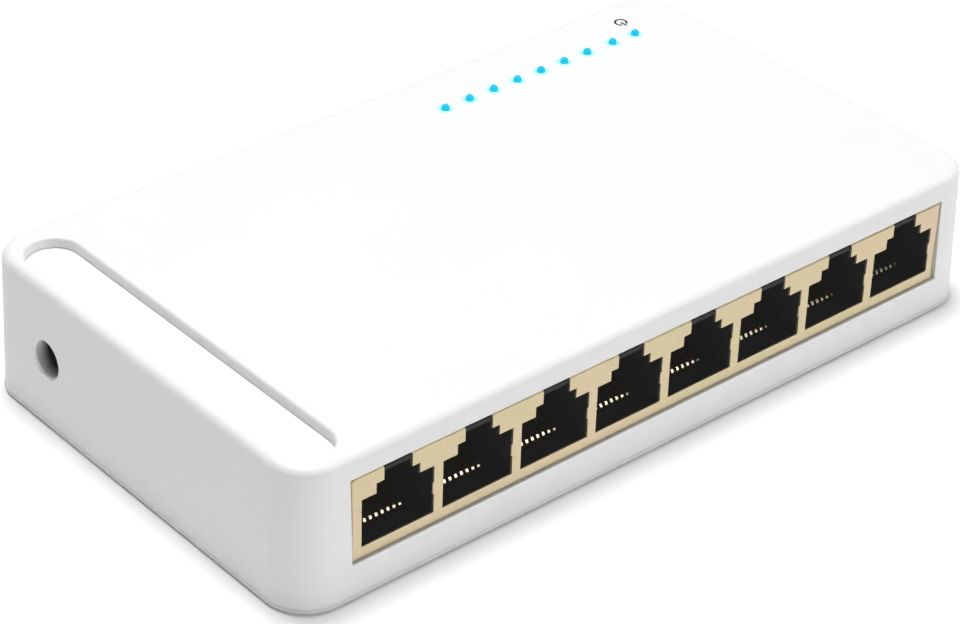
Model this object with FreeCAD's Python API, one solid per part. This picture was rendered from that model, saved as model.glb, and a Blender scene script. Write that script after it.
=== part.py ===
import FreeCAD, Part
import math
import os

# Desktop network switch with eight sockets. Millimetres, +Z up.
# The ports face -Y, the power inlet faces -X, and the length runs along X.
# The origin is on the standing plane, under the middle of the case.

Vec = FreeCAD.Vector
X_AXIS = Vec(1, 0, 0)
Y_AXIS = Vec(0, 1, 0)
Z_AXIS = Vec(0, 0, 1)

# Case
CASE_LENGTH = 131.4
CASE_DEPTH = 74.3
CASE_HEIGHT = 22.9
CORNER_R = 6.7
TOP_EDGE_R = 1.4
DRAFT = math.radians(2.0)
WALL = 1.8
FOOT_PROUD = 0.4
BASE_EDGE = 0.55
BASE_THICK = 2.0
RIM_PROUD = 0.12
RIM_TOP_R = 0.25
RIM_BOTTOM_R = 0.15
LIP_GAP = 0.2

# Heights that follow from the case
Z_BASE = FOOT_PROUD
Z_SHELL = Z_BASE + BASE_EDGE
Z_FLOOR = Z_BASE + BASE_THICK
Z_TOP = Z_BASE + CASE_HEIGHT
Z_CEILING = Z_TOP - WALL

# Sunken strip beside the left edge of the top
POCKET_X = -58.7
POCKET_Y = -0.65
POCKET_LENGTH = 66.4
POCKET_WIDTH = 8.2
POCKET_DEPTH = 1.7
POCKET_EDGE_R = 0.5
POCKET_FLOOR_THICK = 1.4
POCKET_GROOVE = 0.16

# Circuit board
BOARD_Z = 4.0
BOARD_THICK = 1.6
BOARD_TOP = BOARD_Z + BOARD_THICK
BOARD_HALF_LENGTH = 63.0
BOARD_FRONT = -33.3
BOARD_REAR = 34.2

# Row of sockets
PORTS = 8
PORT_PITCH = 13.97
PORT_ROW_X = 0.7
WINDOW_WIDTH = 12.42
WINDOW_Z = 7.8
SHOULDERS = ((2.48, 7.76), (3.79, 9.38))
SHIELD_FRONT = -36.55
SHIELD_DEPTH = 16.0
SHIELD_WIDTH = 113.3
SHIELD_BOTTOM = BOARD_TOP + 0.45
SHIELD_TOP = 19.35
SHEET = 0.25
SHIELD_BEND_R = 0.35
SHIELD_GAP = 0.3
WINDOW_CUT = 1.2
GAP_UNDER_SHIELD = 0.2
GAP_OVER_SHIELD = 0.2
OPENING_DEPTH = 3.0
TAB_WIDTH = 1.5
TAB_ROOT = 0.5
SIDE_TAB_ROWS = (-31.0, -23.5)
KEY_REACH = 0.22
KEY_HEIGHT = 1.9
KEY_Z = WINDOW_Z + 3.1

# Black socket housings behind the shield
HOUSING_WIDTH = 13.87
HOUSING_FRONT = SHIELD_FRONT + SHEET + 0.02
HOUSING_REAR = -20.85
HOUSING_BOTTOM = BOARD_TOP + 0.1
NOTCH_REAR = -34.9
HOUSING_TOP = SHIELD_TOP - SHEET - 0.05
CAVITY_INSET = 0.15
CAVITY_REAR = -24.5
LATCH_TOP = 18.4
GROOVE_FRONT = -33.4
GROOVE_BOTTOM = 6.6
GROOVE_WIDTH = 0.62
CARRIER_HALF = 4.6
CARRIER_TOP = 12.5
CARRIER_GAP = 0.15
CARRIER_GROOVE_TOP = 7.35

# Spring contacts
CONTACTS = 8
CONTACT_PITCH = 1.016
CONTACT_WIDTH = 0.42
CONTACT_THICK = 0.26
BEND_Y = -31.9
BEND_Z = 7.75
BEND_R = 0.72
BEND_SPLIT = math.radians(5.0)
CONTACT_SLOPE = math.radians(24.0)
CONTACT_RUN = 7.4
TAIL_ROWS = (-22.2, -23.6)
TAIL_BOTTOM = 2.9
TAIL_BEND_R = 0.5
TAIL_HOLE_R = 0.4
COMB_RIB = 0.4
COMB_FRONT = -27.5
COMB_TOP = 11.2

# Power inlet
JACK_Y = 21.35
JACK_Z = 11.5
JACK_FACE_X = -62.75
JACK_LENGTH = 13.8
JACK_WIDTH = 9.0
JACK_HEIGHT = 11.0
BARREL_R = 2.85
BARREL_DEPTH = 9.8
INLET_HOLE_R = 2.9
INLET_CHAMFER = 0.25
COLLAR_R = 4.0
PIN_R = 1.0
PIN_SETBACK = 1.4
PIN_ROOT_R = 1.4
PIN_ROOT_LENGTH = 3.4
PIN_TIP_R = 0.6
LEAF_WIDTH = 2.6
LEAF_THICK = 0.3
LEAF_ROOT_X = JACK_FACE_X + 8.6
LEAF_TIP_X = JACK_FACE_X + 1.8
LEAF_BUMP_R = 0.8
LEAF_BUMP_REACH = 0.4
LEAF_BUMP_X = JACK_FACE_X + 3.3
LEAF_SLOT_HALF = 1.6
LEAF_SLOT_Z = 7.3
TERMINAL_LENGTH = 2.4
TERMINAL_THICK = 0.4
TERMINAL_XS = (JACK_FACE_X + 2.7, JACK_FACE_X + 10.2)
SIDE_TERMINAL_X = JACK_FACE_X + 6.7
SIDE_TERMINAL_Y = JACK_Y + 3.6

# Indicator lights
LIGHTS = 9
LIGHT_Y = 26.03
LIGHT_X = 12.19
LIGHT_PITCH = 4.94
LIGHT_STEP = 0.6
LIGHTS_BEFORE_STEP = 7
LIGHT_HOLE_R = 0.69
LIGHT_TIP_R = 0.63
LIGHT_PROUD = 0.25
LIGHT_STEM_R = 1.1
LIGHT_STEM_BOTTOM = 7.2
LIGHT_BAR_Z = 19.9
LIGHT_BAR_HEIGHT = 1.2
LIGHT_BAR_WIDTH = 2.4

# Screws, bosses and feet
BOSS_X = 60.6
BOSS_Y = 31.2
BOSS_R = 2.5
BOSS_BOTTOM = Z_FLOOR + 0.1
BOSS_CLEAR = 3.0
PILOT_R = 0.95
PILOT_DEPTH = 11.0
SCREW_LENGTH = 9.0
SCREW_HEAD_R = 2.2
SCREW_HEAD_HEIGHT = 0.9
SCREW_HOLE_R = 1.3
SHANK_GAP = 0.02
CROSS_LENGTH = 2.4
CROSS_WIDTH = 0.55
CROSS_DEPTH = 0.55
BOARD_SCREW_HEAD_R = 2.1
BOARD_SCREW_HEAD_HEIGHT = 1.3
BOARD_SCREW_HOLE_R = 1.25
COUNTERBORE_R = 2.5
COUNTERBORE_DEPTH = 1.2
FOOT_R = 5.0
FOOT_THICK = 1.0
FOOT_X = 53.0
FOOT_Y = 25.5
PEG_POSTS = ((-57.5, -10.0), (57.5, -10.0))
SCREW_POSTS = ((-20.0, 30.5), (58.5, 18.0))
POST_R = 2.4
PEG_R = 1.0
PEG_PROUD = 0.4
POST_PILOT_R = 0.8

# Underside
KEYHOLE_X = 42.0
KEYHOLE_R = 3.6
KEYHOLE_SLOT = 3.8
KEYHOLE_TRAVEL = 7.0
KEYHOLE_WEB = 1.2
KEYHOLE_THINNED = 10.0
VENT_COUNT = 14
VENT_PITCH = 4.0
VENT_WIDTH = 1.6
VENT_LENGTH = 12.0
VENT_ROWS = (-17.5, 17.5)
LABEL_LENGTH = 64.0
LABEL_WIDTH = 17.0
LABEL_DEPTH = 0.2

# Parts on the board
TRANSFORMER = (14.4, 9.2, 6.2)
TRANSFORMER_Y = -12.2
TRANSFORMER_LEADS = 8
TRANSFORMER_LEAD_PITCH = 1.5
CHIP_X = 3.0
CHIP_Y = 6.5
CHIP_SIZE = 14.0
CHIP_HEIGHT = 1.5
CHIP_LEADS = 26
CHIP_LEAD_PITCH = 0.5
CRYSTAL_PLACE = (-14.0, 8.0)
CRYSTAL = (11.0, 4.4, 3.4)
INDUCTOR_PLACE = (-42.0, 6.0)
INDUCTOR = (7.4, 7.4, 4.2)
REGULATOR_PLACE = (-31.0, 6.0)
REGULATOR = (5.0, 4.0, 1.6)
HEAT_TAB = (3.2, 1.4, 0.6)
INPUT_CAPACITOR = (-42.0, 17.5, 3.15, 7.7)
OUTPUT_CAPACITOR = (-32.0, 17.5, 2.5, 7.0)
CHIP_RESISTOR = (0.9, 1.7, 0.55)
GAP_OVER_BOARD = 0.05


def box(x0, x1, y0, y1, z0, z1):
    """A box between two opposite corners."""
    return Part.makeBox(x1 - x0, y1 - y0, z1 - z0, Vec(x0, y0, z0))


def centred_box(x, y, z0, size):
    """A box standing at height z0 with its middle over x, y."""
    a, b, c = size
    return box(x - a / 2, x + a / 2, y - b / 2, y + b / 2, z0, z0 + c)


def post(x, y, r, z0, z1):
    """An upright cylinder."""
    return Part.makeCylinder(r, z1 - z0, Vec(x, y, z0), Z_AXIS)


def slot_prism(x, y, length, width, z0, z1):
    """An upright prism with a stadium outline that is longest along Y."""
    r = width / 2
    half = length / 2 - r
    core = box(x - r, x + r, y - half, y + half, z0, z1)
    ends = [post(x, y + side * half, r, z0, z1) for side in (-1, 1)]
    return core.fuse(ends).removeSplitter()


def rounded_outline(half_x, half_y, r, z):
    """A rounded rectangle as one closed wire."""
    edges = []
    corners = ((1, 1, 0), (-1, 1, 90), (-1, -1, 180), (1, -1, 270))
    arcs = []
    for sx, sy, start in corners:
        centre = Vec(sx * (half_x - r), sy * (half_y - r), z)
        points = []
        for turn in (0, 45, 90):
            a = math.radians(start + turn)
            points.append(centre + Vec(r * math.cos(a), r * math.sin(a), 0))
        arcs.append(points)
    for i, points in enumerate(arcs):
        edges.append(Part.Arc(*points).toShape())
        edges.append(Part.makeLine(points[2], arcs[(i + 1) % 4][0]))
    return Part.Wire(edges)


def case_outline(z, inset):
    """The drafted case's outline at height z, moved inwards by inset."""
    lean = (z - Z_SHELL) * math.tan(DRAFT) + inset
    return rounded_outline(CASE_LENGTH / 2 - lean, CASE_DEPTH / 2 - lean, CORNER_R - lean, z)


def case_solid(z0, z1, inset):
    """The solid inside the drafted case outline between two heights."""
    return Part.makeLoft([case_outline(z0, inset), case_outline(z1, inset)], True, True)


def edges_at(shape, z):
    """The edges that lie wholly at height z."""
    return [e for e in shape.Edges if abs(e.BoundBox.ZMin - z) < 1e-4 and abs(e.BoundBox.ZMax - z) < 1e-4]


def cut_all(shape, tools):
    """shape with all the tools cut away."""
    return shape.cut(tools[0].fuse(tools[1:]) if len(tools) > 1 else tools[0])


def port_x(k):
    """Middle of socket k along X."""
    return PORT_ROW_X + (k - (PORTS - 1) / 2) * PORT_PITCH


def contact_xs(k):
    """Middles of the eight contacts of socket k."""
    return [port_x(k) + (j - (CONTACTS - 1) / 2) * CONTACT_PITCH for j in range(CONTACTS)]


def light_x(i):
    """Middle of indicator light i along X."""
    return LIGHT_X + i * LIGHT_PITCH + (LIGHT_STEP if i >= LIGHTS_BEFORE_STEP else 0)


def boss_places():
    """Places of the four corner screws."""
    return [(sx * BOSS_X, sy * BOSS_Y) for sx in (-1, 1) for sy in (-1, 1)]


def foot_places():
    """Places of the four feet."""
    return [(sx * FOOT_X, sy * FOOT_Y) for sx in (-1, 1) for sy in (-1, 1)]


def window_prism(x, inset, top, y0, y1):
    """The stepped socket window, narrowed by inset, from y0 to y1."""
    half = WINDOW_WIDTH / 2
    (step1, rise1), (step2, rise2) = SHOULDERS
    bottom = WINDOW_Z - inset
    levels = (
        (half, bottom, WINDOW_Z + rise1 - inset),
        (half - step1, bottom, WINDOW_Z + rise2 - inset),
        (half - step2, bottom, top),
    )
    blocks = [box(x - w + inset, x + w - inset, y0, y1, z0, z1) for w, z0, z1 in levels]
    return blocks[0].fuse(blocks[1:]).removeSplitter()


# ---- case -------------------------------------------------------------------


def top_cover():
    """White upper shell: drafted walls, sunken strip, front opening and bosses."""
    shell = case_solid(Z_SHELL, Z_TOP, 0.0)
    shell = shell.makeFillet(TOP_EDGE_R, edges_at(shell, Z_TOP))
    shell = shell.cut(case_solid(Z_SHELL - 0.5, Z_CEILING, WALL))
    pocket_z = Z_TOP - POCKET_DEPTH
    backing = slot_prism(
        POCKET_X,
        POCKET_Y,
        POCKET_LENGTH + 2 * POCKET_FLOOR_THICK,
        POCKET_WIDTH + 2 * POCKET_FLOOR_THICK,
        pocket_z - POCKET_FLOOR_THICK,
        Z_CEILING + 0.1,
    )
    backing = backing.common(case_solid(Z_SHELL, Z_TOP, WALL / 2))
    bosses = [post(x, y, BOSS_R, BOSS_BOTTOM, Z_CEILING + 0.1) for x, y in boss_places()]
    bosses = [b.common(case_solid(Z_SHELL, Z_TOP, WALL / 2)) for b in bosses]
    shell = shell.fuse([backing, inlet_collar()] + bosses).removeSplitter()
    pocket = slot_prism(POCKET_X, POCKET_Y, POCKET_LENGTH, POCKET_WIDTH, pocket_z, Z_TOP + 1)
    shell = shell.cut(pocket)
    shell = shell.makeFillet(POCKET_EDGE_R, pocket_rim(shell))
    return cut_all(shell, [pocket_groove(pocket_z)] + shell_openings())


def inlet_collar():
    """Collar inside the wall that reaches from the inlet hole to the inlet's face."""
    x0 = -CASE_LENGTH / 2 + WALL / 2
    x1 = JACK_FACE_X - 0.1
    return Part.makeCylinder(COLLAR_R, x1 - x0, Vec(x0, JACK_Y, JACK_Z), X_AXIS)


def pocket_groove(z):
    """Fine groove round the sunken strip's floor, at the foot of its wall."""
    outer = slot_prism(POCKET_X, POCKET_Y, POCKET_LENGTH, POCKET_WIDTH, z - POCKET_GROOVE, z + 0.01)
    inner = slot_prism(
        POCKET_X,
        POCKET_Y,
        POCKET_LENGTH - 2 * POCKET_GROOVE,
        POCKET_WIDTH - 2 * POCKET_GROOVE,
        z - POCKET_GROOVE,
        z + 0.01,
    )
    return outer.cut(inner)


def pocket_rim(shell):
    """The upper edges of the sunken strip."""
    half_x = POCKET_WIDTH / 2 + 0.01
    half_y = POCKET_LENGTH / 2 + 0.01
    rim = []
    for e in edges_at(shell, Z_TOP):
        b = e.BoundBox
        inside_x = abs(b.XMin - POCKET_X) < half_x and abs(b.XMax - POCKET_X) < half_x
        if inside_x and max(abs(b.YMin - POCKET_Y), abs(b.YMax - POCKET_Y)) < half_y:
            rim.append(e)
    return rim


def shell_openings():
    """What is cut through the upper shell."""
    half = SHIELD_WIDTH / 2 + SHIELD_GAP
    front = box(
        PORT_ROW_X - half,
        PORT_ROW_X + half,
        -CASE_DEPTH / 2 - 1,
        -CASE_DEPTH / 2 + OPENING_DEPTH,
        SHIELD_BOTTOM - GAP_UNDER_SHIELD,
        SHIELD_TOP + GAP_OVER_SHIELD,
    )
    side_x = -CASE_LENGTH / 2
    inlet = Part.makeCylinder(INLET_HOLE_R, 6, Vec(side_x - 1, JACK_Y, JACK_Z), X_AXIS)
    lean = (JACK_Z - Z_SHELL) * math.tan(DRAFT)
    rim = Part.makeCone(
        INLET_HOLE_R + INLET_CHAMFER + 0.1,
        INLET_HOLE_R,
        INLET_CHAMFER + 0.1,
        Vec(side_x + lean - 0.1, JACK_Y, JACK_Z),
        X_AXIS,
    )
    lights = [post(light_x(i), LIGHT_Y, LIGHT_HOLE_R, Z_CEILING - 1, Z_TOP + 1) for i in range(LIGHTS)]
    pilots = [post(x, y, PILOT_R, BOSS_BOTTOM - 1, BOSS_BOTTOM + PILOT_DEPTH) for x, y in boss_places()]
    return [front, inlet, rim] + lights + pilots


def base_cover():
    """White lower cover with its lip, posts, keyholes, vents and recesses."""
    half_x = CASE_LENGTH / 2 + RIM_PROUD
    half_y = CASE_DEPTH / 2 + RIM_PROUD
    outline = rounded_outline(half_x, half_y, CORNER_R + RIM_PROUD, Z_BASE)
    flange = Part.Face(outline).extrude(Vec(0, 0, BASE_EDGE))
    flange = flange.makeFillet(RIM_TOP_R, edges_at(flange, Z_SHELL))
    flange = flange.makeFillet(RIM_BOTTOM_R, edges_at(flange, Z_BASE))
    lip = case_solid(Z_SHELL - 0.01, Z_FLOOR, WALL + LIP_GAP)
    posts = [post(x, y, POST_R, Z_FLOOR - 0.1, BOARD_Z) for x, y in PEG_POSTS + SCREW_POSTS]
    pegs = [post(x, y, PEG_R, BOARD_Z - 0.1, BOARD_TOP + PEG_PROUD) for x, y in PEG_POSTS]
    body = flange.fuse([lip] + posts + pegs).removeSplitter()
    return cut_all(body, base_cuts())


def base_cuts():
    """What is cut out of the lower cover."""
    z0 = Z_BASE - 1
    z1 = Z_FLOOR + 1
    tools = []
    for x, y in boss_places():
        tools.append(post(x, y, SCREW_HOLE_R, z0, z1))
        tools.append(post(x, y, COUNTERBORE_R, z0, Z_BASE + COUNTERBORE_DEPTH))
    for x, y in SCREW_POSTS:
        tools.append(post(x, y, POST_PILOT_R, Z_BASE + 0.8, BOARD_Z + 1))
    for x, y in foot_places():
        tools.append(post(x, y, FOOT_R + 0.1, z0, FOOT_THICK))
    for side in (-1, 1):
        tools += keyhole(side * KEYHOLE_X, z0, z1)
    for y in VENT_ROWS:
        for i in range(VENT_COUNT):
            x = (i - (VENT_COUNT - 1) / 2) * VENT_PITCH
            tools.append(slot_prism(x, y, VENT_LENGTH, VENT_WIDTH, z0, z1))
    label = centred_box(0, 0, z0, (LABEL_LENGTH, LABEL_WIDTH, Z_BASE + LABEL_DEPTH - z0))
    tools.append(label)
    return tools


def keyhole(x, z0, z1):
    """Round entry, narrow slot towards the rear, and thinned wall inside."""
    entry = post(x, 0, KEYHOLE_R, z0, z1)
    slot = slot_prism(x, KEYHOLE_TRAVEL / 2, KEYHOLE_TRAVEL + KEYHOLE_SLOT, KEYHOLE_SLOT, z0, z1)
    length = KEYHOLE_TRAVEL + KEYHOLE_THINNED
    thinned = slot_prism(x, KEYHOLE_TRAVEL / 2, length, KEYHOLE_THINNED, Z_BASE + KEYHOLE_WEB, z1)
    return [entry, slot, thinned]


def foot(x, y):
    """Round rubber foot."""
    disc = post(x, y, FOOT_R, 0, FOOT_THICK)
    return disc.makeChamfer(0.15, edges_at(disc, 0))


def case_screw(x, y):
    """Pan-head screw from below, with a cross recess."""
    z = Z_BASE + COUNTERBORE_DEPTH - SCREW_HEAD_HEIGHT
    under_head = z + SCREW_HEAD_HEIGHT
    head = post(x, y, SCREW_HEAD_R, z, under_head)
    head = head.makeFillet(SCREW_HEAD_HEIGHT * 0.4, edges_at(head, z))
    shank = post(x, y, PILOT_R - SHANK_GAP, under_head - 0.1, under_head + SCREW_LENGTH)
    return cut_cross(head.fuse(shank).removeSplitter(), x, y, z - 0.5, z + CROSS_DEPTH)


def board_screw(x, y):
    """Pan-head screw that holds the board to its post."""
    top = BOARD_TOP + BOARD_SCREW_HEAD_HEIGHT
    head = post(x, y, BOARD_SCREW_HEAD_R, BOARD_TOP, top)
    head = head.makeFillet(BOARD_SCREW_HEAD_HEIGHT * 0.4, edges_at(head, top))
    shank = post(x, y, POST_PILOT_R - SHANK_GAP, Z_BASE + 1.0, BOARD_TOP + 0.1)
    return cut_cross(head.fuse(shank).removeSplitter(), x, y, top - CROSS_DEPTH, top + 1)


def cut_cross(screw, x, y, z0, z1):
    """screw with a cross recess between two heights."""
    height = z1 - z0
    arms = [
        centred_box(x, y, z0, (CROSS_LENGTH, CROSS_WIDTH, height)),
        centred_box(x, y, z0, (CROSS_WIDTH, CROSS_LENGTH, height)),
    ]
    return cut_all(screw, arms)


# ---- sockets ----------------------------------------------------------------


def port_shield():
    """Folded sheet-metal shield round the whole row of sockets."""
    x0 = PORT_ROW_X - SHIELD_WIDTH / 2
    x1 = PORT_ROW_X + SHIELD_WIDTH / 2
    rear = SHIELD_FRONT + SHIELD_DEPTH
    outer = box(x0, x1, SHIELD_FRONT, rear, SHIELD_BOTTOM, SHIELD_TOP)
    folds = [e for e in outer.Edges if is_fold(e, x0, x1)]
    outer = outer.makeFillet(SHIELD_BEND_R, folds)
    front = SHIELD_FRONT + SHEET
    hollow = box(x0 + SHEET, x1 - SHEET, front, rear - SHEET, SHIELD_BOTTOM - 1, SHIELD_TOP - SHEET)
    cut_y = (SHIELD_FRONT - 1, SHIELD_FRONT + WINDOW_CUT)
    windows = [window_prism(port_x(k), 0.0, SHIELD_TOP + 1, *cut_y) for k in range(PORTS)]
    shield = cut_all(outer, [hollow] + windows)
    extras = [window_key(k) for k in range(PORTS)] + board_tabs(x0, x1, rear)
    return shield.fuse(extras).removeSplitter()


def is_fold(edge, x0, x1):
    """True for the shield's front and top folded edges."""
    b = edge.BoundBox
    front = abs(b.YMax - SHIELD_FRONT) < 1e-4
    top = abs(b.ZMin - SHIELD_TOP) < 1e-4
    upright = b.ZMax - b.ZMin > 1
    return (front and (top or upright)) or (top and b.YMax - b.YMin > 1)


def window_key(k):
    """Small key left standing on the right side of a window."""
    x = port_x(k) + WINDOW_WIDTH / 2
    return box(x - KEY_REACH, x + 0.1, SHIELD_FRONT, SHIELD_FRONT + SHEET, KEY_Z, KEY_Z + KEY_HEIGHT)


def board_tabs(x0, x1, rear):
    """Solder tabs of the shield: two on each end wall and three on the rear wall."""
    half = TAB_WIDTH / 2
    z1 = SHIELD_BOTTOM + TAB_ROOT
    tabs = []
    for y in SIDE_TAB_ROWS:
        tabs.append(box(x0, x0 + SHEET, y - half, y + half, TAIL_BOTTOM, z1))
        tabs.append(box(x1 - SHEET, x1, y - half, y + half, TAIL_BOTTOM, z1))
    for x in rear_tab_places():
        tabs.append(box(x - half, x + half, rear - SHEET, rear, TAIL_BOTTOM, z1))
    return tabs


def rear_tab_places():
    """Places of the shield's rear tabs, between pairs of sockets."""
    return [PORT_ROW_X + i * 2 * PORT_PITCH for i in (-1, 0, 1)]


def port_housing(k):
    """Black moulded socket: stepped cavity, floor grooves, rear pocket, notch over the case wall."""
    x = port_x(k)
    half = HOUSING_WIDTH / 2
    body = box(x - half, x + half, HOUSING_FRONT, HOUSING_REAR, HOUSING_BOTTOM, HOUSING_TOP)
    cavity = window_prism(x, CAVITY_INSET, LATCH_TOP, HOUSING_FRONT - 1, CAVITY_REAR)
    grooves = []
    side = GROOVE_WIDTH / 2
    for gx in contact_xs(k):
        grooves.append(box(gx - side, gx + side, GROOVE_FRONT, CAVITY_REAR, GROOVE_BOTTOM, WINDOW_Z))
    pocket_half = CARRIER_HALF + CARRIER_GAP
    pocket = box(
        x - pocket_half,
        x + pocket_half,
        CAVITY_REAR - 0.01,
        HOUSING_REAR + 1,
        HOUSING_BOTTOM - 1,
        CARRIER_TOP + CARRIER_GAP,
    )
    notch = box(x - half, x + half, HOUSING_FRONT, NOTCH_REAR, HOUSING_BOTTOM, SHIELD_BOTTOM)
    return cut_all(body, [cavity, pocket, notch] + grooves)


def contact_carrier(k):
    """Black insert behind a socket that holds its contacts, with the comb."""
    x = port_x(k)
    front = CAVITY_REAR + 0.1
    rear = HOUSING_REAR - 0.1
    block = box(x - CARRIER_HALF, x + CARRIER_HALF, front, rear, HOUSING_BOTTOM, CARRIER_TOP)
    ribs = []
    half = COMB_RIB / 2
    for j in range(CONTACTS + 1):
        rib_x = x + (j - CONTACTS / 2) * CONTACT_PITCH
        ribs.append(box(rib_x - half, rib_x + half, COMB_FRONT, front + 0.1, WINDOW_Z, COMB_TOP))
    grooves = []
    side = GROOVE_WIDTH / 2
    z0 = HOUSING_BOTTOM - 1
    for gx in contact_xs(k):
        grooves.append(box(gx - side, gx + side, front - 1, HOUSING_REAR, z0, CARRIER_GROOVE_TOP))
    return cut_all(block.fuse(ribs).removeSplitter(), grooves)


def strip(edges, start, direction):
    """A contact strip along joined edges that lie in a plane across X."""
    across = Vec(CONTACT_WIDTH / 2, 0, 0)
    through = X_AXIS.cross(direction).normalize() * (CONTACT_THICK / 2)
    signs = ((-1, -1), (1, -1), (1, 1), (-1, 1))
    corners = [start + across * a + through * b for a, b in signs]
    profile = Part.makePolygon(corners + corners[:1])
    return Part.Wire(edges).makePipeShell([profile], True, False)


def bend_point(x, angle):
    """A point on the contact's front bend, angle counted from straight up towards -Y."""
    return Vec(x, BEND_Y - BEND_R * math.sin(angle), BEND_Z + BEND_R * math.cos(angle))


def spring_contact(x):
    """Upper half of the front bend and the sloping contact run."""
    start = math.pi / 2 - BEND_SPLIT
    middle = (start + CONTACT_SLOPE) / 2
    a, b, c = (bend_point(x, t) for t in (start, middle, CONTACT_SLOPE))
    along = Vec(0, math.cos(CONTACT_SLOPE), math.sin(CONTACT_SLOPE))
    edges = [Part.Arc(a, b, c).toShape(), Part.makeLine(c, c + along * CONTACT_RUN)]
    tangent = Vec(0, math.cos(start), math.sin(start))
    return strip(edges, a, tangent)


def contact_tail(x, tail_y):
    """Lower half of the front bend, the run under the floor and the solder tail."""
    start = math.pi / 2 + BEND_SPLIT
    a, b, c = (bend_point(x, t) for t in (start, (start + math.pi) / 2, math.pi))
    z = BEND_Z - BEND_R
    d = Vec(x, tail_y - TAIL_BEND_R, z)
    turn = math.radians(45)
    e = Vec(x, tail_y - TAIL_BEND_R * (1 - math.sin(turn)), z - TAIL_BEND_R * (1 - math.cos(turn)))
    g = Vec(x, tail_y, z - TAIL_BEND_R)
    edges = [
        Part.Arc(a, b, c).toShape(),
        Part.makeLine(c, d),
        Part.Arc(d, e, g).toShape(),
        Part.makeLine(g, Vec(x, tail_y, TAIL_BOTTOM)),
    ]
    tangent = Vec(0, math.cos(start), math.sin(start))
    return strip(edges, a, tangent)


def contact_set(k):
    """The eight spring contacts of one socket."""
    return Part.makeCompound([spring_contact(x) for x in contact_xs(k)])


def contact_tails():
    """The fixed ends of all the contacts."""
    tails = []
    for k in range(PORTS):
        for j, x in enumerate(contact_xs(k)):
            tails.append(contact_tail(x, TAIL_ROWS[j % 2]))
    return Part.makeCompound(tails)


# ---- power inlet ------------------------------------------------------------


def jack_housing():
    """Black inlet body with its barrel bore and the slot for the spring leaf."""
    x1 = JACK_FACE_X + JACK_LENGTH
    z0 = BOARD_TOP + GAP_OVER_BOARD
    half = JACK_WIDTH / 2
    body = box(JACK_FACE_X, x1, JACK_Y - half, JACK_Y + half, z0, z0 + JACK_HEIGHT)
    body = body.makeChamfer(0.4, [e for e in body.Edges if abs(e.BoundBox.XMax - JACK_FACE_X) < 1e-4])
    bore = Part.makeCylinder(BARREL_R, BARREL_DEPTH + 1, Vec(JACK_FACE_X - 1, JACK_Y, JACK_Z), X_AXIS)
    slot = box(
        JACK_FACE_X + 0.9,
        LEAF_ROOT_X + 0.6,
        JACK_Y - LEAF_SLOT_HALF,
        JACK_Y + LEAF_SLOT_HALF,
        LEAF_SLOT_Z,
        JACK_Z,
    )
    bore_end = Vec(JACK_FACE_X + BARREL_DEPTH - 1, JACK_Y, JACK_Z)
    pin_hole = Part.makeCylinder(PIN_ROOT_R + SHANK_GAP, 6, bore_end, X_AXIS)
    return cut_all(body, [bore, slot, pin_hole])


def jack_pin():
    """Centre pin of the inlet with a domed tip and a thicker root in the housing."""
    x0 = JACK_FACE_X + PIN_SETBACK
    root_x = JACK_FACE_X + BARREL_DEPTH
    pin = Part.makeCylinder(PIN_R, root_x - x0, Vec(x0, JACK_Y, JACK_Z), X_AXIS)
    tip = [e for e in pin.Edges if abs(e.BoundBox.XMax - x0) < 1e-4]
    root = Part.makeCylinder(PIN_ROOT_R, PIN_ROOT_LENGTH, Vec(root_x, JACK_Y, JACK_Z), X_AXIS)
    return pin.makeFillet(PIN_TIP_R, tip).fuse(root).removeSplitter()


def jack_leaf():
    """Spring leaf that presses on the plug's sleeve."""
    z1 = JACK_Z - BARREL_R + 0.05
    z0 = z1 - LEAF_THICK
    half = LEAF_WIDTH / 2
    strip = box(LEAF_TIP_X, LEAF_ROOT_X, JACK_Y - half, JACK_Y + half, z0, z1)
    bump_z = JACK_Z - BARREL_R + LEAF_BUMP_REACH - LEAF_BUMP_R
    bump = Part.makeCylinder(LEAF_BUMP_R, LEAF_WIDTH, Vec(LEAF_BUMP_X, JACK_Y - half, bump_z), Y_AXIS)
    above = box(LEAF_TIP_X, LEAF_ROOT_X, JACK_Y - 2 * half, JACK_Y + 2 * half, z0, z1 + 2)
    return strip.fuse(bump.common(above)).removeSplitter()


def terminal_places():
    """Places and plan sizes of the inlet's three terminals."""
    places = [(x, JACK_Y, TERMINAL_LENGTH, TERMINAL_THICK) for x in TERMINAL_XS]
    return places + [(SIDE_TERMINAL_X, SIDE_TERMINAL_Y, TERMINAL_THICK, TERMINAL_LENGTH)]


def jack_terminals():
    """The three flat solder terminals of the inlet."""
    height = BOARD_TOP - 0.02 - TAIL_BOTTOM
    terminals = [centred_box(x, y, TAIL_BOTTOM, (a, b, height)) for x, y, a, b in terminal_places()]
    return Part.makeCompound(terminals)


# ---- board and what stands on it ---------------------------------------------


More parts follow.
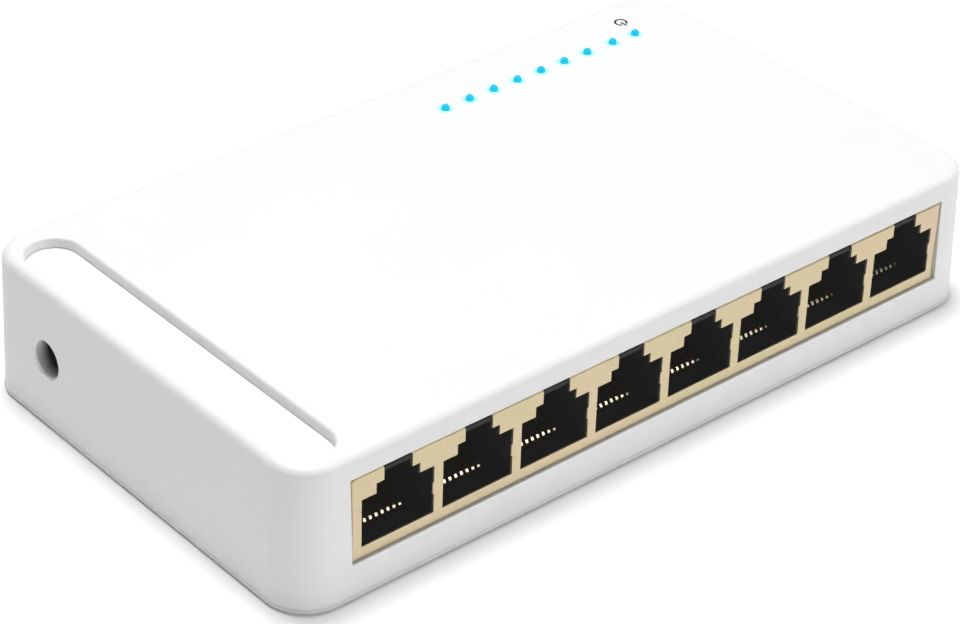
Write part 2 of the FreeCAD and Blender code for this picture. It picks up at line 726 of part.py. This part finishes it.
def circuit_board():
    """Circuit board with corner notches and its holes."""
    z1 = BOARD_TOP
    board = box(-BOARD_HALF_LENGTH, BOARD_HALF_LENGTH, BOARD_FRONT, BOARD_REAR, BOARD_Z, z1)
    z0 = BOARD_Z - 1
    tools = []
    for x, y in boss_places():
        out_x = math.copysign(BOARD_HALF_LENGTH + 1, x)
        out_y = math.copysign(BOARD_REAR + 1, y)
        in_x = x - math.copysign(BOSS_CLEAR, x)
        in_y = y - math.copysign(BOSS_CLEAR, y)
        tools.append(box(min(in_x, out_x), max(in_x, out_x), min(in_y, out_y), max(in_y, out_y), z0, z1 + 1))
    tools += [post(x, y, PEG_R + 0.1, z0, z1 + 1) for x, y in PEG_POSTS]
    tools += [post(x, y, BOARD_SCREW_HOLE_R, z0, z1 + 1) for x, y in SCREW_POSTS]
    for k in range(PORTS):
        for j, x in enumerate(contact_xs(k)):
            tools.append(post(x, TAIL_ROWS[j % 2], TAIL_HOLE_R, z0, z1 + 1))
    tools += tab_slots(z0, z1 + 1)
    return cut_all(board, tools)


def tab_slots(z0, z1):
    """Slots of the board for the shield's tabs and the inlet's terminals."""
    height = z1 - z0
    long = TAB_WIDTH + 0.5
    narrow = SHEET + 0.55
    slots = []
    for side in (-1, 1):
        x = PORT_ROW_X + side * (SHIELD_WIDTH - SHEET) / 2
        slots += [centred_box(x, y, z0, (narrow, long, height)) for y in SIDE_TAB_ROWS]
    rear = SHIELD_FRONT + SHIELD_DEPTH - SHEET / 2
    slots += [centred_box(x, rear, z0, (long, narrow, height)) for x in rear_tab_places()]
    slots += [centred_box(x, y, z0, (a + 0.6, b + 0.6, height)) for x, y, a, b in terminal_places()]
    return slots


def on_board(x, y, size):
    """A block standing on the board."""
    return centred_box(x, y, BOARD_TOP + GAP_OVER_BOARD, size)


def transformer(k):
    """Port transformer block for a pair of sockets, with rounded top edges."""
    x = PORT_ROW_X + (2 * k - 3) * PORT_PITCH
    body = on_board(x, TRANSFORMER_Y, TRANSFORMER)
    top = BOARD_TOP + GAP_OVER_BOARD + TRANSFORMER[2]
    return body.makeFillet(0.4, edges_at(body, top))


def transformer_leads():
    """Gull-wing leads of all the transformer blocks."""
    leads = []
    for k in range(PORTS // 2):
        x = PORT_ROW_X + (2 * k - 3) * PORT_PITCH
        for side in (-1, 1):
            y = TRANSFORMER_Y + side * (TRANSFORMER[1] / 2 + 0.75)
            for j in range(TRANSFORMER_LEADS):
                lead_x = x + (j - (TRANSFORMER_LEADS - 1) / 2) * TRANSFORMER_LEAD_PITCH
                leads.append(on_board(lead_x, y, (0.5, 1.3, 0.25)))
    return Part.makeCompound(leads)


def switch_chip():
    """Square chip package with a pin-one dimple."""
    body = on_board(CHIP_X, CHIP_Y, (CHIP_SIZE, CHIP_SIZE, CHIP_HEIGHT))
    top = BOARD_TOP + GAP_OVER_BOARD + CHIP_HEIGHT
    body = body.makeChamfer(0.3, edges_at(body, top))
    corner = CHIP_SIZE / 2 - 1.8
    return body.cut(post(CHIP_X - corner, CHIP_Y - corner, 0.6, top - 0.1, top + 1))


def chip_leads():
    """Leads on the four sides of the switch chip."""
    leads = []
    out = CHIP_SIZE / 2 + 0.55
    for j in range(CHIP_LEADS):
        step = (j - (CHIP_LEADS - 1) / 2) * CHIP_LEAD_PITCH
        for side in (-1, 1):
            leads.append(on_board(CHIP_X + step, CHIP_Y + side * out, (0.22, 1.0, 0.2)))
            leads.append(on_board(CHIP_X + side * out, CHIP_Y + step, (1.0, 0.22, 0.2)))
    return Part.makeCompound(leads)


def crystal():
    """Low oval crystal can."""
    length, width, height = CRYSTAL
    can = slot_prism(*CRYSTAL_PLACE, length, width, 0, height)
    can = can.makeFillet(0.5, edges_at(can, height))
    can.translate(Vec(0, 0, BOARD_TOP + GAP_OVER_BOARD))
    return can


def inductor():
    """Shielded power inductor."""
    body = on_board(*INDUCTOR_PLACE, INDUCTOR)
    upright = [e for e in body.Edges if e.BoundBox.ZMax - e.BoundBox.ZMin > 1]
    body = body.makeFillet(1.2, upright)
    return body.makeFillet(0.4, edges_at(body, BOARD_TOP + GAP_OVER_BOARD + INDUCTOR[2]))


def regulator():
    """Power regulator package with its heat tab."""
    x, y = REGULATOR_PLACE
    tab_y = y + (REGULATOR[1] + HEAT_TAB[1]) / 2 - 0.1
    return on_board(x, y, REGULATOR).fuse(on_board(x, tab_y, HEAT_TAB)).removeSplitter()


def capacitor(x, y, r, height):
    """Standing electrolytic capacitor with a rolled groove near its foot."""
    z = BOARD_TOP + GAP_OVER_BOARD
    can = post(x, y, r, z, z + height)
    can = can.makeFillet(0.4, edges_at(can, z + height))
    groove = Part.makeTorus(r + 0.1, 0.3, Vec(x, y, z + 1.6), Z_AXIS)
    return can.cut(groove)


def chip_components():
    """Small surface-mount resistors and capacitors in their rows."""
    a, b, height = CHIP_RESISTOR
    parts = []
    for k in range(PORTS):
        parts += [on_board(port_x(k) + step * 3.2, -4.6, CHIP_RESISTOR) for step in (-1, 0, 1)]
    for i in range(LIGHTS):
        parts.append(on_board(light_x(i), LIGHT_Y - 4.5, CHIP_RESISTOR))
    for step in range(-2, 3):
        parts.append(on_board(CHIP_X + step * 3.0, CHIP_Y + 10.5, (b, a, height)))
        parts.append(on_board(CHIP_X + 11.0, CHIP_Y + step * 3.0, CHIP_RESISTOR))
    return Part.makeCompound(parts)


# ---- lights ------------------------------------------------------------------


def indicator_led(i):
    """Surface-mount indicator light under its light guide stem."""
    body = on_board(light_x(i), LIGHT_Y, (1.6, 0.8, 0.35))
    lens = on_board(light_x(i), LIGHT_Y, (1.1, 0.8, 0.75))
    return body.fuse(lens).removeSplitter()


def light_guide():
    """Clear comb: nine stems on one bar, each ending in a small dome."""
    bar_top = LIGHT_BAR_Z + LIGHT_BAR_HEIGHT
    pieces = []
    for i in range(LIGHTS):
        x = light_x(i)
        pieces.append(post(x, LIGHT_Y, LIGHT_STEM_R, LIGHT_STEM_BOTTOM, bar_top))
        pieces.append(post(x, LIGHT_Y, LIGHT_TIP_R, bar_top - 0.1, Z_TOP + LIGHT_PROUD))
        pieces.append(Part.makeSphere(LIGHT_TIP_R, Vec(x, LIGHT_Y, Z_TOP + LIGHT_PROUD)))
    half = LIGHT_BAR_WIDTH / 2
    x0 = light_x(0) - half
    x1 = light_x(LIGHTS - 1) + half
    bar = box(x0, x1, LIGHT_Y - half, LIGHT_Y + half, LIGHT_BAR_Z, bar_top)
    return bar.fuse(pieces).removeSplitter()


# ---- assembly ----------------------------------------------------------------


def all_parts():
    """Every node of the object by name."""
    nodes = {
        "top_cover": top_cover(),
        "base_cover": base_cover(),
        "circuit_board": circuit_board(),
        "port_shield": port_shield(),
        "contact_tails": contact_tails(),
        "power_jack_housing": jack_housing(),
        "power_jack_pin": jack_pin(),
        "power_jack_leaf": jack_leaf(),
        "power_jack_terminals": jack_terminals(),
        "transformer_leads": transformer_leads(),
        "switch_chip": switch_chip(),
        "switch_chip_leads": chip_leads(),
        "crystal": crystal(),
        "power_inductor": inductor(),
        "power_regulator": regulator(),
        "input_capacitor": capacitor(*INPUT_CAPACITOR),
        "output_capacitor": capacitor(*OUTPUT_CAPACITOR),
        "chip_components": chip_components(),
        "light_guide": light_guide(),
        "rubber_feet": Part.makeCompound([foot(x, y) for x, y in foot_places()]),
        "case_screws": Part.makeCompound([case_screw(x, y) for x, y in boss_places()]),
        "board_screws": Part.makeCompound([board_screw(x, y) for x, y in SCREW_POSTS]),
    }
    for k in range(PORTS):
        nodes[f"port_housing_{k + 1}"] = port_housing(k)
        nodes[f"contact_carrier_{k + 1}"] = contact_carrier(k)
        nodes[f"contact_set_{k + 1}"] = contact_set(k)
    for k in range(PORTS // 2):
        nodes[f"transformer_{k + 1}"] = transformer(k)
    for i in range(LIGHTS):
        nodes[f"indicator_led_{i + 1}"] = indicator_led(i)
    return nodes


def main():
    os.makedirs("parts", exist_ok=True)
    for name, shape in all_parts().items():
        shape.exportStep(os.path.join("parts", name + ".step"))


main()
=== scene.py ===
import math

import bmesh
import bpy
from mathutils import Matrix, Vector


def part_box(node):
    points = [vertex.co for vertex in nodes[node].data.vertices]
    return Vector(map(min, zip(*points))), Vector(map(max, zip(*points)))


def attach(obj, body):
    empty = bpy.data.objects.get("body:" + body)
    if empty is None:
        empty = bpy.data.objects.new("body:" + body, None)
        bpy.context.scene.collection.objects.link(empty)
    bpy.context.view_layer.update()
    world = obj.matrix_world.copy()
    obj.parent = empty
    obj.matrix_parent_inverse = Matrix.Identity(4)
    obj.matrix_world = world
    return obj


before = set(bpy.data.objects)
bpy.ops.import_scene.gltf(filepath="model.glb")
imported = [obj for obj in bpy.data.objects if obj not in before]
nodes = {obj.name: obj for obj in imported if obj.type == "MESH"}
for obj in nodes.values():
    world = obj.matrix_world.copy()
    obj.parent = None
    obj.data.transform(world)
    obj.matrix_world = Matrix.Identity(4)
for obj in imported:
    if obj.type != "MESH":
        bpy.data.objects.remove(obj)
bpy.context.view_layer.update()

MM = 0.001
CHASSIS = "chassis"
SOCKETS = 8
LIGHTS = 9
TRANSFORMERS = 4

# The camera's place round the object
CAMERA_AZIMUTH = math.radians(-41.56)
CAMERA_ELEVATION = math.radians(33.30)
CAMERA_ROLL = math.radians(1.87)
CAMERA_AIM = Vector((-14.71, -13.90, 17.25)) * MM
CAMERA_DISTANCE = 430.1 * MM
CAMERA_LENS = 113.03
CAMERA_SENSOR = 36.0

# The painted glow: cyan light painted on the shell round each light, and where it starts and stops to
# fade
PAINTED_GLOW_TINT = (0.22, 0.88, 0.93, 1.0)
PAINTED_GLOW_FADE = (0.6 * MM, 1.5 * MM)

# The inlet hole's wall: painted shade darkens it between the first two depths behind the outer wall,
# and the painted shade stops past the last two, and outside a round edge about the hole's axis
INLET_SHADE_DEPTHS = (1.1 * MM, 2.8 * MM)
INLET_SHADE_ENDS = (5 * MM, 6 * MM)
INLET_SHADE_EDGE = (2.94 * MM, 3.0 * MM)

# The printed on/off sign; its place is measured from the last light
SIGN_ACROSS = 0.94 * MM
SIGN_BEHIND = 4.41 * MM
SIGN_RADIUS = 0.95 * MM
SIGN_STROKE = 0.34 * MM
SIGN_BAR = 1.35 * MM
SIGN_HALF_GAP = math.radians(27)
SIGN_STEPS = 48
INK_PROUD = 0.02 * MM

# The solder cones under the board
SOLDER_HEIGHT = 0.9 * MM
SOLDER_TIP_RADIUS = 0.28 * MM
SOLDER_FOOT_RADIUS = 0.62 * MM
SOLDER_STEPS = 16

# A tail's points lie this near its end, and two tails stand further apart than this along X
TAIL_END = 0.01 * MM
TAIL_GAP = 0.5 * MM

CONTACT_ROUNDING = 0.1 * MM

# The floor in metres, its glow near the object and far from it, and where the glow grows
FLOOR_SIZE = 6.0
FLOOR_GLOW = (0.06, 1.0)
FLOOR_GLOW_GROWS = (0.4, 1.6)


# ---- small helpers ----------------------------------------------------------


def srgb(r, g, b):
    """Linear colour, with alpha, of a display colour given from 0 to 255."""
    linear = []
    for value in (r, g, b):
        v = value / 255
        linear.append(v / 12.92 if v <= 0.04045 else ((v + 0.055) / 1.055) ** 2.4)
    return (*linear, 1.0)


def numbered(stem, count):
    """The node names stem_1 to stem_count."""
    return [f"{stem}_{i + 1}" for i in range(count)]


def middle(name):
    """The middle of a CAD node's box."""
    low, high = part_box(name)
    return (low + high) / 2


class Surface:
    """One material and the few kinds of node that the finishes share."""

    def __init__(self, name, colour, roughness, metallic=0.0):
        self.material = bpy.data.materials.new(name)
        self.material.use_nodes = True
        self.tree = self.material.node_tree
        self.shader = self.tree.nodes["Principled BSDF"]
        self.shader.inputs["Base Color"].default_value = colour
        self.shader.inputs["Roughness"].default_value = roughness
        self.shader.inputs["Metallic"].default_value = metallic
        self.coordinates = self.tree.nodes.new("ShaderNodeTexCoord")

    def node(self, kind, **settings):
        """A new node of some kind."""
        made = self.tree.nodes.new(kind)
        for key, value in settings.items():
            setattr(made, key, value)
        return made

    def link(self, source, target):
        """Joins an output to an input."""
        self.tree.links.new(source, target)

    def noise(self, scale, detail, stretch=(1.0, 1.0, 1.0)):
        """Noise with features about 1/scale metres across, in coordinates scaled per axis."""
        mapping = self.node("ShaderNodeMapping")
        mapping.inputs["Scale"].default_value = stretch
        self.link(self.coordinates.outputs["Object"], mapping.inputs["Vector"])
        made = self.node("ShaderNodeTexNoise")
        made.inputs["Scale"].default_value = scale
        made.inputs["Detail"].default_value = detail
        self.link(mapping.outputs["Vector"], made.inputs["Vector"])
        return made.outputs["Fac"]

    def ranged(self, value, low, high, from_low=0.3, from_high=0.7):
        """low where value is from_low, high where it is from_high, and spread between."""
        made = self.node("ShaderNodeMapRange")
        made.inputs["From Min"].default_value = from_low
        made.inputs["From Max"].default_value = from_high
        made.inputs["To Min"].default_value = low
        made.inputs["To Max"].default_value = high
        self.link(value, made.inputs["Value"])
        return made.outputs["Result"]

    def combined(self, operation, *values):
        """The values worked together by one kind of sum, such as MULTIPLY or MINIMUM."""
        total = values[0]
        for value in values[1:]:
            made = self.node("ShaderNodeMath", operation=operation)
            self.link(total, made.inputs[0])
            self.link(value, made.inputs[1])
            total = made.outputs[0]
        return total

    def mixed(self, factor, first, second):
        """Colour between first and second; each is a colour or a socket."""
        made = self.node("ShaderNodeMix", data_type="RGBA")
        self.link(factor, made.inputs["Factor"])
        for key, value in (("A", first), ("B", second)):
            socket = next(s for s in made.inputs if s.name == key and s.type == "RGBA")
            if isinstance(value, tuple):
                socket.default_value = value
            else:
                self.link(value, socket)
        return next(s for s in made.outputs if s.type == "RGBA")

    def plain_colour(self):
        """The socket that gives the colour so far."""
        return self.shader.inputs["Base Color"].links[0].from_socket

    def colour(self, socket):
        """Takes the surface's colour from a socket."""
        self.link(socket, self.shader.inputs["Base Color"])

    def roughness(self, socket):
        """Takes the surface's roughness from a socket."""
        self.link(socket, self.shader.inputs["Roughness"])

    def white_light(self):
        """Makes any light that the surface gives white."""
        self.shader.inputs["Emission Color"].default_value = (1.0, 1.0, 1.0, 1.0)

    def bump(self, height, depth, strength):
        """A bump of the given depth in metres."""
        made = self.node("ShaderNodeBump")
        made.inputs["Strength"].default_value = strength
        made.inputs["Distance"].default_value = depth
        self.link(height, made.inputs["Height"])
        self.link(made.outputs["Normal"], self.shader.inputs["Normal"])

    def parts(self, vector):
        """X, Y and Z of a vector, by name."""
        made = self.node("ShaderNodeSeparateXYZ")
        self.link(vector, made.inputs["Vector"])
        return made.outputs

    def distance(self, vector, place):
        """Distance in metres from a vector to a place."""
        made = self.node("ShaderNodeVectorMath", operation="DISTANCE")
        made.inputs[1].default_value = place
        self.link(vector, made.inputs[0])
        return made.outputs["Value"]

    def distance_to(self, places):
        """Distance in metres to the nearest of some places on the object."""
        position = self.coordinates.outputs["Object"]
        return self.combined("MINIMUM", *[self.distance(position, place) for place in places])

    def facing(self, axis):
        """How far the surface faces along an axis of the object, either way, from 0 to 1."""
        size = self.node("ShaderNodeMath", operation="ABSOLUTE")
        self.link(self.parts(self.coordinates.outputs["Normal"])[axis], size.inputs[0])
        return size.outputs[0]


def finish_nodes(surface, names):
    """Gives CAD nodes a finish."""
    for name in names:
        mesh = nodes[name].data
        mesh.materials.clear()
        mesh.materials.append(surface.material)


def round_edges(names, width):
    """Rounds the sharp edges of CAD nodes."""
    for name in names:
        bevel = nodes[name].modifiers.new("rounded", "BEVEL")
        bevel.width = width
        bevel.segments = 2
        bevel.limit_method = "ANGLE"
        bevel.angle_limit = math.radians(50)


# ---- finishes ---------------------------------------------------------------


def case_plastic(name, light, shade, grain):
    """White moulded plastic with a fine eroded texture."""
    s = Surface(name, light, 0.42)
    s.colour(s.mixed(s.ranged(s.noise(22, 2), 0, 1), light, shade))
    s.roughness(s.ranged(s.noise(700, 3), 0.38, 0.47))
    s.bump(s.noise(grain, 4), 0.012 * MM, 0.6)
    return s


def painted_glow_round(surface, places):
    """Paints the lights' cyan glow on a surface close to the lights that shine in its holes."""
    s = surface
    # painted glow: cyan light painted into the colour round each light
    glow = s.ranged(s.distance_to(places), 0, 1, *PAINTED_GLOW_FADE)
    s.colour(s.mixed(glow, PAINTED_GLOW_TINT, s.plain_colour()))


def painted_shade_inlet(surface, axis, wall_x):
    """Paints shade on the inlet hole's wall, darker with its depth behind the outer wall."""
    s = surface
    place = s.parts(s.coordinates.outputs["Object"])
    across = s.node("ShaderNodeCombineXYZ")
    s.link(place["Y"], across.inputs["Y"])
    s.link(place["Z"], across.inputs["Z"])
    from_axis = s.distance(across.outputs["Vector"], (0, axis.y, axis.z))
    inside = s.ranged(from_axis, 1, 0, *INLET_SHADE_EDGE)
    deep = s.ranged(place["X"], 0, 1, *(wall_x + depth for depth in INLET_SHADE_DEPTHS))
    this_end = s.ranged(place["X"], 1, 0, *(wall_x + depth for depth in INLET_SHADE_ENDS))
    # painted shade: the wall goes dark grey deeper in the hole
    painted_shade = s.combined("MULTIPLY", inside, deep, this_end)
    s.colour(s.mixed(painted_shade, s.plain_colour(), srgb(30, 30, 31)))


def shield_metal():
    """Pale gold plated sheet with rolling grain, and sheared edges painted brighter: the bare cut
    metal, with a painted highlight on it.
    """
    s = Surface("shield_plate", srgb(218, 204, 172), 0.36, 0.85)
    tint = s.mixed(s.ranged(s.noise(60, 2), 0, 1), srgb(215, 194, 166), srgb(207, 197, 156))
    streak = s.noise(900, 3, (1.0, 1.0, 9.0))
    worn = s.mixed(s.ranged(streak, 0, 0.35), tint, srgb(186, 170, 139))
    # sheared edges: bare cut metal, and a painted highlight on it
    cut_edge_and_highlight = s.ranged(s.facing("Y"), 1, 0)
    s.colour(s.mixed(cut_edge_and_highlight, worn, srgb(246, 236, 196)))
    s.roughness(s.ranged(streak, 0.30, 0.44))
    s.bump(streak, 0.006 * MM, 0.5)
    return s


def socket_nylon():
    """Black glass-filled nylon with a faint mottle, and a faint painted glow that stands in for
    scattered light.
    """
    s = Surface("socket_black", srgb(24, 24, 25), 0.55)
    s.colour(s.mixed(s.ranged(s.noise(500, 3), 0, 1), srgb(19, 19, 20), srgb(29, 29, 30)))
    s.roughness(s.ranged(s.noise(1500, 3), 0.48, 0.64))
    s.shader.inputs["Specular IOR Level"].default_value = 0.25
    # painted light: a faint white glow lifts the black
    s.white_light()
    s.shader.inputs["Emission Strength"].default_value = 0.0105
    s.bump(s.noise(7000, 3), 0.01 * MM, 0.5)
    return s


def contact_gold():
    """Bright pale gold plating."""
    s = Surface("contact_gold", srgb(250, 238, 212), 0.16, 1.0)
    s.colour(s.mixed(s.ranged(s.noise(1500, 2), 0, 1), srgb(252, 241, 218), srgb(243, 226, 190)))
    s.roughness(s.ranged(s.noise(6000, 2), 0.12, 0.22))
    return s


def tinned_metal(name, light, shade, grain):
    """Bright plating with faint drawing marks."""
    s = Surface(name, light, 0.3, 1.0)
    s.colour(s.mixed(s.ranged(s.noise(grain, 3), 0, 1), light, shade))
    s.roughness(s.ranged(s.noise(grain * 2, 3), 0.22, 0.4))
    s.bump(s.noise(grain * 5, 2), 0.004 * MM, 0.4)
    return s


def mottled(name, light, shade, rough, grain, depth):
    """A plain moulded or fired surface with a fine mottle."""
    s = Surface(name, light, rough)
    s.colour(s.mixed(s.ranged(s.noise(grain / 4, 3), 0, 1), light, shade))
    s.roughness(s.ranged(s.noise(grain, 3), rough - 0.06, rough + 0.08))
    s.bump(s.noise(grain * 2, 3), depth, 0.5)
    return s


def board_mask():
    """Green solder mask over a pattern of copper tracks."""
    s = Surface("board_green", srgb(20, 92, 52), 0.3)
    tracks = s.node("ShaderNodeTexBrick")
    tracks.inputs["Scale"].default_value = 420
    tracks.inputs["Mortar Size"].default_value = 0.012
    s.link(s.coordinates.outputs["Object"], tracks.inputs["Vector"])
    s.colour(s.mixed(tracks.outputs["Fac"], srgb(18, 84, 48), srgb(34, 122, 70)))
    s.bump(tracks.outputs["Fac"], 0.03 * MM, 0.4)
    s.roughness(s.ranged(s.noise(900, 3), 0.26, 0.4))
    return s


def lit_acrylic():
    """Acrylic lit cyan from below."""
    s = Surface("light_guide", srgb(12, 125, 146), 0.3)
    s.colour(s.mixed(s.ranged(s.noise(3000, 2), 0, 1), srgb(10, 118, 138), srgb(16, 134, 156)))
    s.shader.inputs["Emission Color"].default_value = srgb(24, 198, 232)
    s.shader.inputs["Emission Strength"].default_value = 0.75
    s.shader.inputs["Specular IOR Level"].default_value = 0.2
    return s


def light_places():
    """Middles of the lights at the height of the top."""
    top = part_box("top_cover")[1].z
    found = [middle(name) for name in numbered("indicator_led", LIGHTS)]
    return [(place.x, place.y, top) for place in found]


def finish_case():
    """The two case mouldings, the light guide, the feet and the screws."""
    case = case_plastic("case_white", srgb(248, 248, 248), srgb(246, 246, 246), 7000)
    # painted cyan glow on the shell round the lights
    painted_glow_round(case, light_places())
    # painted shade on the inlet hole's wall
    painted_shade_inlet(case, middle("power_jack_pin"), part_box("top_cover")[0].x)
    finish_nodes(case, ["top_cover"])
    base = case_plastic("base_white", srgb(244, 244, 244), srgb(240, 240, 240), 4500)
    finish_nodes(base, ["base_cover"])
    finish_nodes(lit_acrylic(), ["light_guide"])
    rubber = mottled("foot_rubber", srgb(46, 46, 48), srgb(36, 36, 38), 0.8, 3000, 0.03 * MM)
    finish_nodes(rubber, ["rubber_feet"])
    steel = tinned_metal("screw_steel", srgb(168, 168, 172), srgb(128, 129, 134), 1400)
    finish_nodes(steel, ["case_screws", "board_screws"])


def finish_connectors():
    """The socket row with its contacts, and the inlet."""
    finish_nodes(shield_metal(), ["port_shield"])
    sockets = numbered("port_housing", SOCKETS) + numbered("contact_carrier", SOCKETS)
    finish_nodes(socket_nylon(), [*sockets, "power_jack_housing"])
    finish_nodes(contact_gold(), [*numbered("contact_set", SOCKETS), "contact_tails"])


def finish_board():
    """The circuit board and what is soldered to it."""
    finish_nodes(board_mask(), ["circuit_board"])
    tin = tinned_metal("tinned_metal", srgb(208, 208, 210), srgb(180, 181, 184), 900)
    finish_nodes(tin, ["power_jack_pin", "power_jack_leaf", "power_jack_terminals"])
    finish_nodes(tin, ["transformer_leads", "switch_chip_leads", "crystal"])
    epoxy = mottled("chip_black", srgb(40, 40, 42), srgb(30, 30, 31), 0.55, 2500, 0.01 * MM)
    finish_nodes(epoxy, numbered("transformer", TRANSFORMERS))
    finish_nodes(epoxy, ["switch_chip", "power_regulator", "power_inductor"])
    sleeve = mottled("capacitor_sleeve", srgb(28, 34, 58), srgb(22, 26, 46), 0.3, 800, 0.006 * MM)
    finish_nodes(sleeve, ["input_capacitor", "output_capacitor"])
    ceramic = mottled("chip_ceramic", srgb(176, 150, 118), srgb(150, 126, 98), 0.5, 2000, 0.008 * MM)
    finish_nodes(ceramic, ["chip_components"])
    package = mottled("led_package", srgb(238, 238, 226), srgb(226, 226, 210), 0.35, 2500, 0.004 * MM)
    finish_nodes(package, numbered("indicator_led", LIGHTS))


# ---- printed and soldered details --------------------------------------------


def ring_mesh(mesh, centre, inner, outer, z0, z1, start, end, steps):
    """Adds a flat ring segment with a rectangular section."""
    rows = []
    for i in range(steps + 1):
        a = start + (end - start) * i / steps
        direction = Vector((math.cos(a), math.sin(a), 0))
        corners = ((inner, z0), (outer, z0), (outer, z1), (inner, z1))
        rows.append([mesh.verts.new(centre + direction * r + Vector((0, 0, z))) for r, z in corners])
    for before, after in zip(rows, rows[1:]):
        for j in range(4):
            k = (j + 1) % 4
            mesh.faces.new((before[j], before[k], after[k], after[j]))
    mesh.faces.new(rows[0][::-1])
    mesh.faces.new(rows[-1])


def block_mesh(mesh, low, high):
    """Adds a box between two corners."""
    size = high - low
    place = Matrix.Translation((low + high) / 2) @ Matrix.Diagonal((*size, 1.0))
    bmesh.ops.create_cube(mesh, size=1.0, matrix=place)


def piece_from(mesh, name, surface):
    """Turns a bmesh into a piece that rides on the chassis."""
    bmesh.ops.recalc_face_normals(mesh, faces=mesh.faces)
    data = bpy.data.meshes.new(name)
    mesh.to_mesh(data)
    mesh.free()
    data.materials.append(surface.material)
    piece = bpy.data.objects.new(name, data)
    bpy.context.scene.collection.objects.link(piece)
    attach(piece, CHASSIS)
    return piece


def power_symbol():
    """Printed on/off sign behind the last light, read from the rear."""
    last_light = middle(numbered("indicator_led", LIGHTS)[-1])
    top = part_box("top_cover")[1].z
    centre = Vector((last_light.x + SIGN_ACROSS, last_light.y + SIGN_BEHIND, top))
    inner = SIGN_RADIUS - SIGN_STROKE / 2
    outer = SIGN_RADIUS + SIGN_STROKE / 2
    south = math.radians(270)
    ends = (south + SIGN_HALF_GAP, south + math.tau - SIGN_HALF_GAP)
    mesh = bmesh.new()
    ring_mesh(mesh, centre, inner, outer, -INK_PROUD, INK_PROUD, *ends, SIGN_STEPS)
    low = centre + Vector((-SIGN_STROKE / 2, -SIGN_BAR, -INK_PROUD))
    high = centre + Vector((SIGN_STROKE / 2, 0, INK_PROUD))
    block_mesh(mesh, low, high)
    ink = mottled("printed_ink", srgb(26, 26, 29), srgb(34, 34, 37), 0.55, 4000, 0.002 * MM)
    piece = piece_from(mesh, "power_symbol", ink)


def tail_places():
    """Middles of the contact tails' ends, under the board."""
    vertices = [v.co for v in nodes["contact_tails"].data.vertices]
    bottom = min(v.z for v in vertices) + TAIL_END
    tips = sorted((v.x, v.y) for v in vertices if v.z < bottom)
    groups = [[tips[0]]]
    for before, tip in zip(tips, tips[1:]):
        if tip[0] - before[0] > TAIL_GAP:
            groups.append([])
        groups[-1].append(tip)
    return [(sum(x for x, _ in g) / len(g), sum(y for _, y in g) / len(g)) for g in groups]


def solder_joints():
    """Solder cones round the contact tails, under the board."""
    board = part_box("circuit_board")[0].z
    mesh = bmesh.new()
    for x, y in tail_places():
        bmesh.ops.create_cone(
            mesh,
            cap_ends=True,
            segments=SOLDER_STEPS,
            radius1=SOLDER_TIP_RADIUS,
            radius2=SOLDER_FOOT_RADIUS,
            depth=SOLDER_HEIGHT,
            matrix=Matrix.Translation((x, y, board - SOLDER_HEIGHT / 2)),
        )
    solder = tinned_metal("solder", srgb(206, 207, 210), srgb(176, 178, 182), 2500)
    piece = piece_from(mesh, "solder_joints", solder)
    for face in piece.data.polygons:
        face.use_smooth = len(face.vertices) == 4


# ---- stage, light and camera --------------------------------------------------


def floor():
    """Plain pale floor, which glows a little, and more far away from the object."""
    bpy.ops.mesh.primitive_plane_add(size=FLOOR_SIZE, location=(0, 0, 0))
    plane = bpy.context.object
    plane.name = "floor"
    s = Surface("floor_white", srgb(253, 253, 253), 0.9)
    s.roughness(s.ranged(s.noise(40, 2), 0.85, 0.95))
    s.white_light()
    glow = s.ranged(s.distance_to([(0, 0, 0)]), *FLOOR_GLOW, *FLOOR_GLOW_GROWS)
    s.link(glow, s.shader.inputs["Emission Strength"])
    plane.data.materials.append(s.material)


def area_light(name, place, size, power):
    """A soft square light that looks at the object."""
    data = bpy.data.lights.new(name, "AREA")
    data.size = size
    data.energy = power
    lamp = bpy.data.objects.new(name, data)
    lamp.location = place
    lamp.rotation_euler = (-Vector(place)).to_track_quat("-Z", "Y").to_euler()
    bpy.context.scene.collection.objects.link(lamp)


def lights():
    """Soft overhead lights, weaker ones in front, and a little light from all round."""
    world = bpy.data.worlds.new("surroundings")
    world.use_nodes = True
    background = world.node_tree.nodes["Background"]
    background.inputs["Color"].default_value = (1.0, 1.0, 1.0, 1.0)
    background.inputs["Strength"].default_value = 0.04
    bpy.context.scene.world = world
    area_light("overhead", (0.03, 0.15, 1.3), 0.43, 15.0)
    area_light("soft_overhead", (-0.1, 0.1, 1.3), 1.0, 2.6)
    area_light("front", (0.5, -1.2, 0.35), 0.8, 3.6)
    area_light("front_left", (-0.5, -1.05, 0.6), 0.8, 0.5)
    area_light("glint", (0.8, -0.8, 0.95), 0.25, 0.7)
    bpy.context.scene.view_settings.view_transform = "Standard"


def camera():
    """The camera, from its azimuth, elevation and roll round the aim point."""
    a, e, r = CAMERA_AZIMUTH, CAMERA_ELEVATION, CAMERA_ROLL
    back = Vector((math.sin(a) * math.cos(e), -math.cos(a) * math.cos(e), math.sin(e)))
    level = Vector((math.cos(a), math.sin(a), 0))
    upright = back.cross(level)
    right = level * math.cos(r) + upright * math.sin(r)
    up = upright * math.cos(r) - level * math.sin(r)
    data = bpy.data.cameras.new("camera")
    data.lens = CAMERA_LENS
    data.sensor_width = CAMERA_SENSOR
    data.clip_start = 0.01
    made = bpy.data.objects.new("camera", data)
    turn = Matrix((right, up, back)).transposed().to_4x4()
    made.matrix_world = Matrix.Translation(CAMERA_AIM + back * CAMERA_DISTANCE) @ turn
    bpy.context.scene.collection.objects.link(made)
    bpy.context.scene.camera = made


camera()
floor()
lights()
finish_case()
finish_connectors()
finish_board()
round_edges(numbered("contact_set", SOCKETS), CONTACT_ROUNDING)
power_symbol()
solder_joints()
